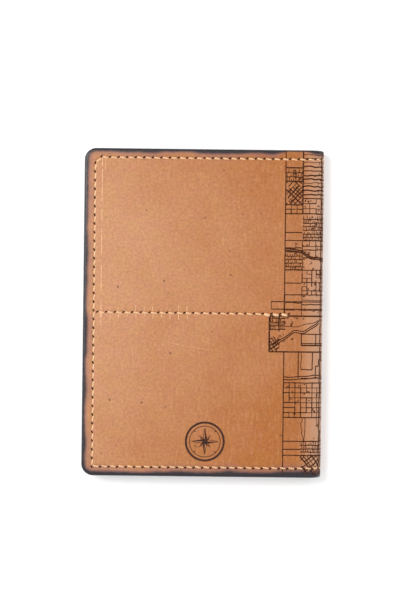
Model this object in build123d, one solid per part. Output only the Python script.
from build123d import *
import math
import os
from functools import lru_cache

# A folding leather travel wallet for a passport, cards and tickets, lying closed on its front
# cover with the spine towards +X. Millimetres, +Z up. The origin is under the middle of the
# closed wallet, on the surface that it lies on.
#
# One outer hide and one lining run right across the spine. Both are cut here into a front
# cover, three narrow spine strips and a back cover, so that the spine can unroll: the wallet
# lies open once each of the four folds between them has turned by the same angle. Inside each
# cover two pocket panels are stacked on the lining and sewn down on three sides, with their
# mouths towards the spine.

# Overall sizes
closed_width = 102.5
cover_height = 140.0
corner_radius = 5.0
edge_round = 0.7

# Leather
hide_thickness = 1.8
lining_thickness = 0.6
panel_thickness = 0.9
pocket_gap = 0.9
cover_clearance = 0.7

# Pocket panels, measured from the opening edge of their cover
document_pocket_width = 86.0
passport_sleeve_width = 58.0
long_card_panel_width = 90.0
short_card_panel_width = 62.0
pocket_slope = 6.0
notch_radius = 8.0

# Seams
edge_inset = 4.5
end_inset = 3.8
corner_cut = 2.6
seam_land = 1.8
middle_seam_start = 1.6
middle_seam_margin = 2.0
stitch_pitch = 3.66
thread_radius = 0.24
leg_clearance = 0.04
corner_leg_clearance = 0.02
needle_bend = 0.3
hole_clearance = 0.1
thread_clearance = 0.12
thread_sink = 0.02
groove_width = 1.2

# Spine
fold_count = 4
strip_gap = 0.12
spine_stitch_half_angle = 14.0

# Worked out from the sizes above. Closed, the stack is two covers with two panels and two open
# pockets each, and a small clearance between them.
cover_stack = hide_thickness + lining_thickness + 2 * panel_thickness + 2 * pocket_gap
closed_thickness = 2 * cover_stack + cover_clearance
bend_radius = closed_thickness / 2
edge_x = -closed_width / 2
bend_x = closed_width / 2 - bend_radius
bend_z = bend_radius
half_height = cover_height / 2
fold_angle = 180.0 / fold_count
pivot_radius = bend_radius * math.radians(fold_angle / 2) / math.sin(math.radians(fold_angle / 2))
gap_angle = math.degrees(strip_gap / bend_radius)

lining_level = hide_thickness
inner_level = lining_level + lining_thickness
first_panel_level = inner_level + panel_thickness
second_panel_level = first_panel_level + panel_thickness

groove_depth = thread_sink + 2 * thread_radius + thread_clearance
lock_level = (groove_depth + inner_level) / 2
needle_level = thread_sink + thread_radius
leg_offset = thread_radius + leg_clearance
corner_leg_offset = math.sqrt(2) * thread_radius + corner_leg_clearance
hole_radius = leg_offset + thread_radius + hole_clearance
corner_hole_radius = corner_leg_offset + thread_radius + hole_clearance
single_hole_radius = thread_radius + thread_clearance

seam_x = edge_x + edge_inset
seam_y = half_height - end_inset
seam_end_x = bend_x - hole_radius


def spaced(first, last, pitch):
    """Evenly spaced points from first to last, both included, as near to pitch apart as fits."""
    steps = max(1, round(math.dist(first, last) / pitch))
    return [
        (
            first[0] + (last[0] - first[0]) * i / steps,
            first[1] + (last[1] - first[1]) * i / steps,
        )
        for i in range(steps + 1)
    ]


def perimeter_holes():
    """The needle holes round a cover: along the head, down the opening edge and along the foot.
    The seam crosses the head corner on one slanting stitch and turns square at the foot."""
    head = spaced((seam_end_x, seam_y), (seam_x + corner_cut, seam_y), stitch_pitch)
    edge = spaced((seam_x, seam_y - corner_cut), (seam_x, -seam_y), stitch_pitch)
    foot = spaced((seam_x, -seam_y), (seam_end_x, -seam_y), stitch_pitch)
    return head + edge + foot[1:]


def middle_holes():
    """The needle holes of the seam that parts the upper card pockets from the lower ones."""
    last_x = edge_x + long_card_panel_width - middle_seam_margin
    return spaced((seam_x + middle_seam_start, 0), (last_x, 0), stitch_pitch)


def is_square_corner(hole):
    """True for the hole where the seam turns square, which takes two legs at right angles."""
    return math.dist(hole, (seam_x, -seam_y)) < hole_radius


def bend_point(radius, angle):
    """A point of the spine's bend in the XZ plane. Angle 0 is straight down, 90 towards +X."""
    turn = math.radians(angle)
    return (bend_x + radius * math.sin(turn), bend_z - radius * math.cos(turn))


def bend_sector(outer_radius, inner_radius, start, end, length):
    """A curved bar of the spine's bend between two angles, centred on the XZ plane."""
    middle = (start + end) / 2
    outline = [
        ThreePointArc(*(bend_point(outer_radius, a) for a in (start, middle, end))),
        Line(bend_point(outer_radius, end), bend_point(inner_radius, end)),
        ThreePointArc(*(bend_point(inner_radius, a) for a in (end, middle, start))),
        Line(bend_point(inner_radius, start), bend_point(outer_radius, start)),
    ]
    return extrude(Plane.XZ * make_face(outline), amount=length / 2, both=True)


def box_between(low, high):
    """A box between two corners."""
    size = [high[i] - low[i] for i in range(3)]
    return Pos(*((low[i] + high[i]) / 2 for i in range(3))) * Box(*size)


def plate(level, thickness, width):
    """A flat sheet of leather with the two rounded corners of the opening edge."""
    sheet = box_between(
        (edge_x, -half_height, level), (edge_x + width, half_height, level + thickness)
    )
    corners = sheet.edges().filter_by(Axis.Z).group_by(Axis.X)[0]
    return fillet(corners, corner_radius)


def hole_pins(holes, low, high):
    """Pins that punch the needle holes through the leather between two levels."""
    return [
        Pos(x, y, (low + high) / 2)
        * Cylinder(corner_hole_radius if is_square_corner((x, y)) else hole_radius, high - low)
        for x, y in holes
    ]


def cover_sheet(level, thickness):
    """A cover's hide or lining: a flat plate that ends in the first part of the spine's bend."""
    flat = plate(level, thickness, bend_x - edge_x)
    lip = bend_sector(
        bend_radius - level,
        bend_radius - level - thickness,
        0,
        fold_angle / 2 - gap_angle / 2,
        cover_height,
    )
    return flat + lip


def round_skin(sheet, radius):
    """Rounds the outer skin's cut edges, which a maker bevels and burnishes. The edges where the
    flat meets the bend, and where the bend meets the first spine strip, stay as they are."""
    near = radius / 10

    def on_skin(centre):
        if centre.X < bend_x - near:
            return centre.Z < near
        reach = math.hypot(centre.X - bend_x, centre.Z - bend_z)
        return abs(reach - bend_radius) < near

    def on_rim(centre):
        return centre.X < seam_x or abs(centre.Y) > seam_y

    rim = [e for e in sheet.edges() if on_skin(e.center()) and on_rim(e.center())]
    return fillet(rim, radius)


def seam_groove(holes):
    """The shallow groove that sinks one straight run of stitches below the outer skin."""
    (x0, y0), (x1, y1) = holes[0], holes[-1]
    run = math.dist((x0, y0), (x1, y1))
    angle = math.degrees(math.atan2(y1 - y0, x1 - x0))
    return (
        Pos((x0 + x1) / 2, (y0 + y1) / 2, groove_depth / 2)
        * Rot(Z=angle)
        * Box(run + groove_width, groove_width, groove_depth)
    )


def perimeter_grooves():
    """Grooves for the seam round a cover, with the curved ends that run onto the spine."""
    head_start = (bend_x, seam_y)
    head_end = (seam_x + corner_cut, seam_y)
    edge_start = (seam_x, seam_y - corner_cut)
    edge_end = (seam_x, -seam_y)
    foot_end = (bend_x, -seam_y)
    flats = [
        seam_groove(run)
        for run in (
            [head_start, head_end],
            [head_end, edge_start],
            [edge_start, edge_end],
            [edge_end, foot_end],
        )
    ]
    return flats + bend_grooves(0, fold_angle / 2)


def bend_grooves(start, end):
    """The same groove where the head and foot seams run round the spine's bend."""
    ring = bend_sector(bend_radius + 1, bend_radius - groove_depth, start, end, groove_width)
    return [Pos(0, y, 0) * ring for y in (-seam_y, seam_y)]


def front_hide():
    sheet = round_skin(cover_sheet(0, hide_thickness), edge_round)
    return sheet - perimeter_grooves() - hole_pins(perimeter_holes(), -1, inner_level)


def front_lining():
    return cover_sheet(lining_level, lining_thickness) - hole_pins(
        perimeter_holes(), 0, inner_level + 1
    )


def raised_field(level, rise, x_low, x_high, y_low, y_high):
    """The pocket's own space: it climbs from the seams on three sides, and is open at x_high."""
    low = Rectangle(x_high - x_low, y_high - y_low, align=(Align.MIN, Align.MIN))
    high = Rectangle(
        x_high - x_low - pocket_slope, y_high - y_low - 2 * pocket_slope, align=(Align.MIN, Align.MIN)
    )
    return loft(
        [
            (Pos(x_low, y_low, level) * low).face(),
            (Pos(x_low + pocket_slope, y_low + pocket_slope, level + rise) * high).face(),
        ],
        ruled=True,
    )


def pocket_panel(level, width, rise, fields, holes, notches=()):
    """A panel sewn down at level on three sides and standing off by rise over each field."""
    mouth_x = edge_x + width
    panel = plate(level, panel_thickness, width)
    for y_low, y_high in fields:
        x_low = seam_x + seam_land
        panel += raised_field(level + panel_thickness, rise, x_low, mouth_x, y_low, y_high)
    for y_low, y_high in fields:
        panel -= raised_field(level, rise, seam_x + seam_land, mouth_x, y_low, y_high)
    for y in notches:
        panel -= Pos(mouth_x, y, level) * Cylinder(notch_radius, 4 * (rise + panel_thickness))
    near = [h for h in holes if h[0] < mouth_x + hole_radius]
    return panel - hole_pins(near, level - 1, level + panel_thickness + 1)


whole_field = [(-seam_y + seam_land, seam_y - seam_land)]
half_fields = [(-seam_y + seam_land, -seam_land), (seam_land, seam_y - seam_land)]
half_centres = [sum(field) / 2 for field in half_fields]


@lru_cache(maxsize=None)
def stitch_template(length, height):
    """One stitch seen from the side: a bar with two legs that reach height above it."""
    path = FilletPolyline((0, height), (0, 0), (length, 0), (length, height), radius=needle_bend)
    path = Plane.XZ * path
    section = Plane(origin=path @ 0, z_dir=path % 0) * Circle(thread_radius)
    return sweep(section, path=path)


def stitch(start, end, bar_level, leg_level):
    """A stitch from one hole to the next, with its bar at one level and its legs at another."""
    angle = math.degrees(math.atan2(end[1] - start[1], end[0] - start[0]))
    offsets = [corner_leg_offset if is_square_corner(h) else leg_offset for h in (start, end)]
    length = math.dist(start, end) - sum(offsets)
    height = abs(leg_level - bar_level)
    turn = Rot(X=0) if leg_level > bar_level else Rot(X=180)
    place = Pos(start[0], start[1], bar_level) * Rot(Z=angle) * Pos(offsets[0], 0, 0) * turn
    return place * stitch_template(round(length, 6), round(height, 6))


def needle_stitches(holes):
    """The stitches that show on the outer skin."""
    return [stitch(a, b, needle_level, lock_level) for a, b in zip(holes, holes[1:])]


def bobbin_stitches(holes, long_width, short_width):
    """The stitches that show inside, each lying on the topmost layer under it."""
    levels = {
        edge_x + short_width + hole_radius: second_panel_level,
        edge_x + long_width + hole_radius: first_panel_level,
        math.inf: inner_level,
    }

    def layer(hole):
        return next(level for reach, level in levels.items() if hole[0] < reach)

    stand_off = thread_clearance + thread_radius
    return [
        stitch(a, b, max(layer(a), layer(b)) + stand_off, lock_level)
        for a, b in zip(holes, holes[1:])
    ]


def strip_angles(strip):
    """Where one spine strip starts and ends, with half a gap left at each fold."""
    start = fold_angle / 2 + strip * fold_angle
    return start + gap_angle / 2, start + fold_angle - gap_angle / 2


def radial(angle, inner_radius, outer_radius, radius):
    """A round bar that points at the bend's own axis."""
    x, z = bend_point((inner_radius + outer_radius) / 2, angle)
    return Pos(x, 0, z) * Rot(Y=180 - angle) * Cylinder(radius, outer_radius - inner_radius)


def strip_hole_pins(strip):
    middle = sum(strip_angles(strip)) / 2
    return [
        Pos(0, y, 0)
        * radial(
            middle + side * spine_stitch_half_angle,
            bend_radius - inner_level - 1,
            bend_radius + 1,
            single_hole_radius,
        )
        for y in (-seam_y, seam_y)
        for side in (-1, 1)
    ]


def spine_hide(strip):
    start, end = strip_angles(strip)
    sheet = bend_sector(bend_radius, bend_radius - hide_thickness, start, end, cover_height)
    rims = [
        e
        for e in sheet.edges()
        if abs(abs(e.center().Y) - half_height) < 0.01
        and e.geom_type == GeomType.CIRCLE
        and e.radius > bend_radius - 0.1
    ]
    return fillet(rims, edge_round) - bend_grooves(start - 1, end + 1) - strip_hole_pins(strip)


def spine_lining(strip):
    start, end = strip_angles(strip)
    outer = bend_radius - lining_level
    sheet = bend_sector(outer, outer - lining_thickness, start, end, cover_height)
    return sheet - strip_hole_pins(strip)


def spine_stitch(angle, bar_radius, y):
    """A stitch that follows the bend, with its two legs pointing at the bend's axis."""
    lock_radius = bend_radius - lock_level
    bar_x, bar_z = bend_point(bar_radius, angle - spine_stitch_half_angle)
    tangent = bend_point(1, angle - spine_stitch_half_angle + 90)
    direction = Vector(tangent[0] - bend_x, 0, tangent[1] - bend_z)
    section = Plane(origin=(bar_x, 0, bar_z), z_dir=direction) * Circle(thread_radius)
    ends = [angle - spine_stitch_half_angle, angle + spine_stitch_half_angle]
    arc = Plane.XZ * ThreePointArc(*(bend_point(bar_radius, a) for a in (ends[0], angle, ends[1])))
    thread = sweep(section, path=arc)
    for end in ends:
        x, z = bend_point(bar_radius, end)
        low, high = sorted((bar_radius, lock_radius))
        thread += Pos(x, 0, z) * Sphere(thread_radius)
        thread += radial(end, low, high, thread_radius)
    return Pos(0, y, 0) * thread


def spine_stitches(strip):
    """Four stitches on a strip: outside and inside, at the head and the foot."""
    middle = sum(strip_angles(strip)) / 2
    inner_bar = bend_radius - inner_level - thread_clearance - thread_radius
    return [
        spine_stitch(middle, bar_radius, y)
        for bar_radius in (bend_radius - needle_level, inner_bar)
        for y in (-seam_y, seam_y)
    ]


def to_back(shape):
    """The back cover is the front one mirrored in the closed wallet's middle plane."""
    return mirror(shape, Plane.XY.offset(bend_z))


def back_hide():
    middle = middle_holes()
    sheet = front_hide() - seam_groove(middle) - hole_pins(middle, -1, inner_level)
    return to_back(sheet)


def back_lining():
    return to_back(front_lining() - hole_pins(middle_holes(), 0, inner_level + 1))


def main():
    os.makedirs("parts", exist_ok=True)
    rim_holes = perimeter_holes()
    card_holes = rim_holes + middle_holes()
    document_rise = pocket_gap
    sleeve_rise = 2 * pocket_gap

    nodes = {
        "front_hide": front_hide(),
        "front_lining": front_lining(),
        "document_pocket": pocket_panel(
            inner_level, document_pocket_width, document_rise, whole_field, rim_holes
        ),
        "passport_sleeve": pocket_panel(
            first_panel_level, passport_sleeve_width, sleeve_rise, whole_field, rim_holes
        ),
        "front_needle_thread": Compound(children=needle_stitches(rim_holes)),
        "front_bobbin_thread": Compound(
            children=bobbin_stitches(rim_holes, document_pocket_width, passport_sleeve_width)
        ),
        "back_hide": back_hide(),
        "back_lining": back_lining(),
        "long_card_panel": to_back(
            pocket_panel(
                inner_level,
                long_card_panel_width,
                document_rise,
                half_fields,
                card_holes,
                notches=half_centres,
            )
        ),
        "short_card_panel": to_back(
            pocket_panel(
                first_panel_level, short_card_panel_width, sleeve_rise, half_fields, card_holes
            )
        ),
    }
    for name, holes in (("back", rim_holes), ("middle", middle_holes())):
        needle = needle_stitches(holes)
        bobbin = bobbin_stitches(holes, long_card_panel_width, short_card_panel_width)
        nodes[f"{name}_needle_thread"] = Compound(children=[to_back(s) for s in needle])
        nodes[f"{name}_bobbin_thread"] = Compound(children=[to_back(s) for s in bobbin])
    for strip, place in enumerate(("lower", "middle", "upper")):
        nodes[f"spine_hide_{place}"] = spine_hide(strip)
        nodes[f"spine_lining_{place}"] = spine_lining(strip)
        nodes[f"spine_thread_{place}"] = Compound(children=spine_stitches(strip))

    for name, shape in nodes.items():
        export_step(shape, f"parts/{name}.step")

    for fold in range(fold_count):
        x, z = bend_point(pivot_radius, fold_angle / 2 + fold * fold_angle)
        print(f"fold {fold + 1}: axis through x {x:.4f}, z {z:.4f}, turns {fold_angle:g} degrees")


main()
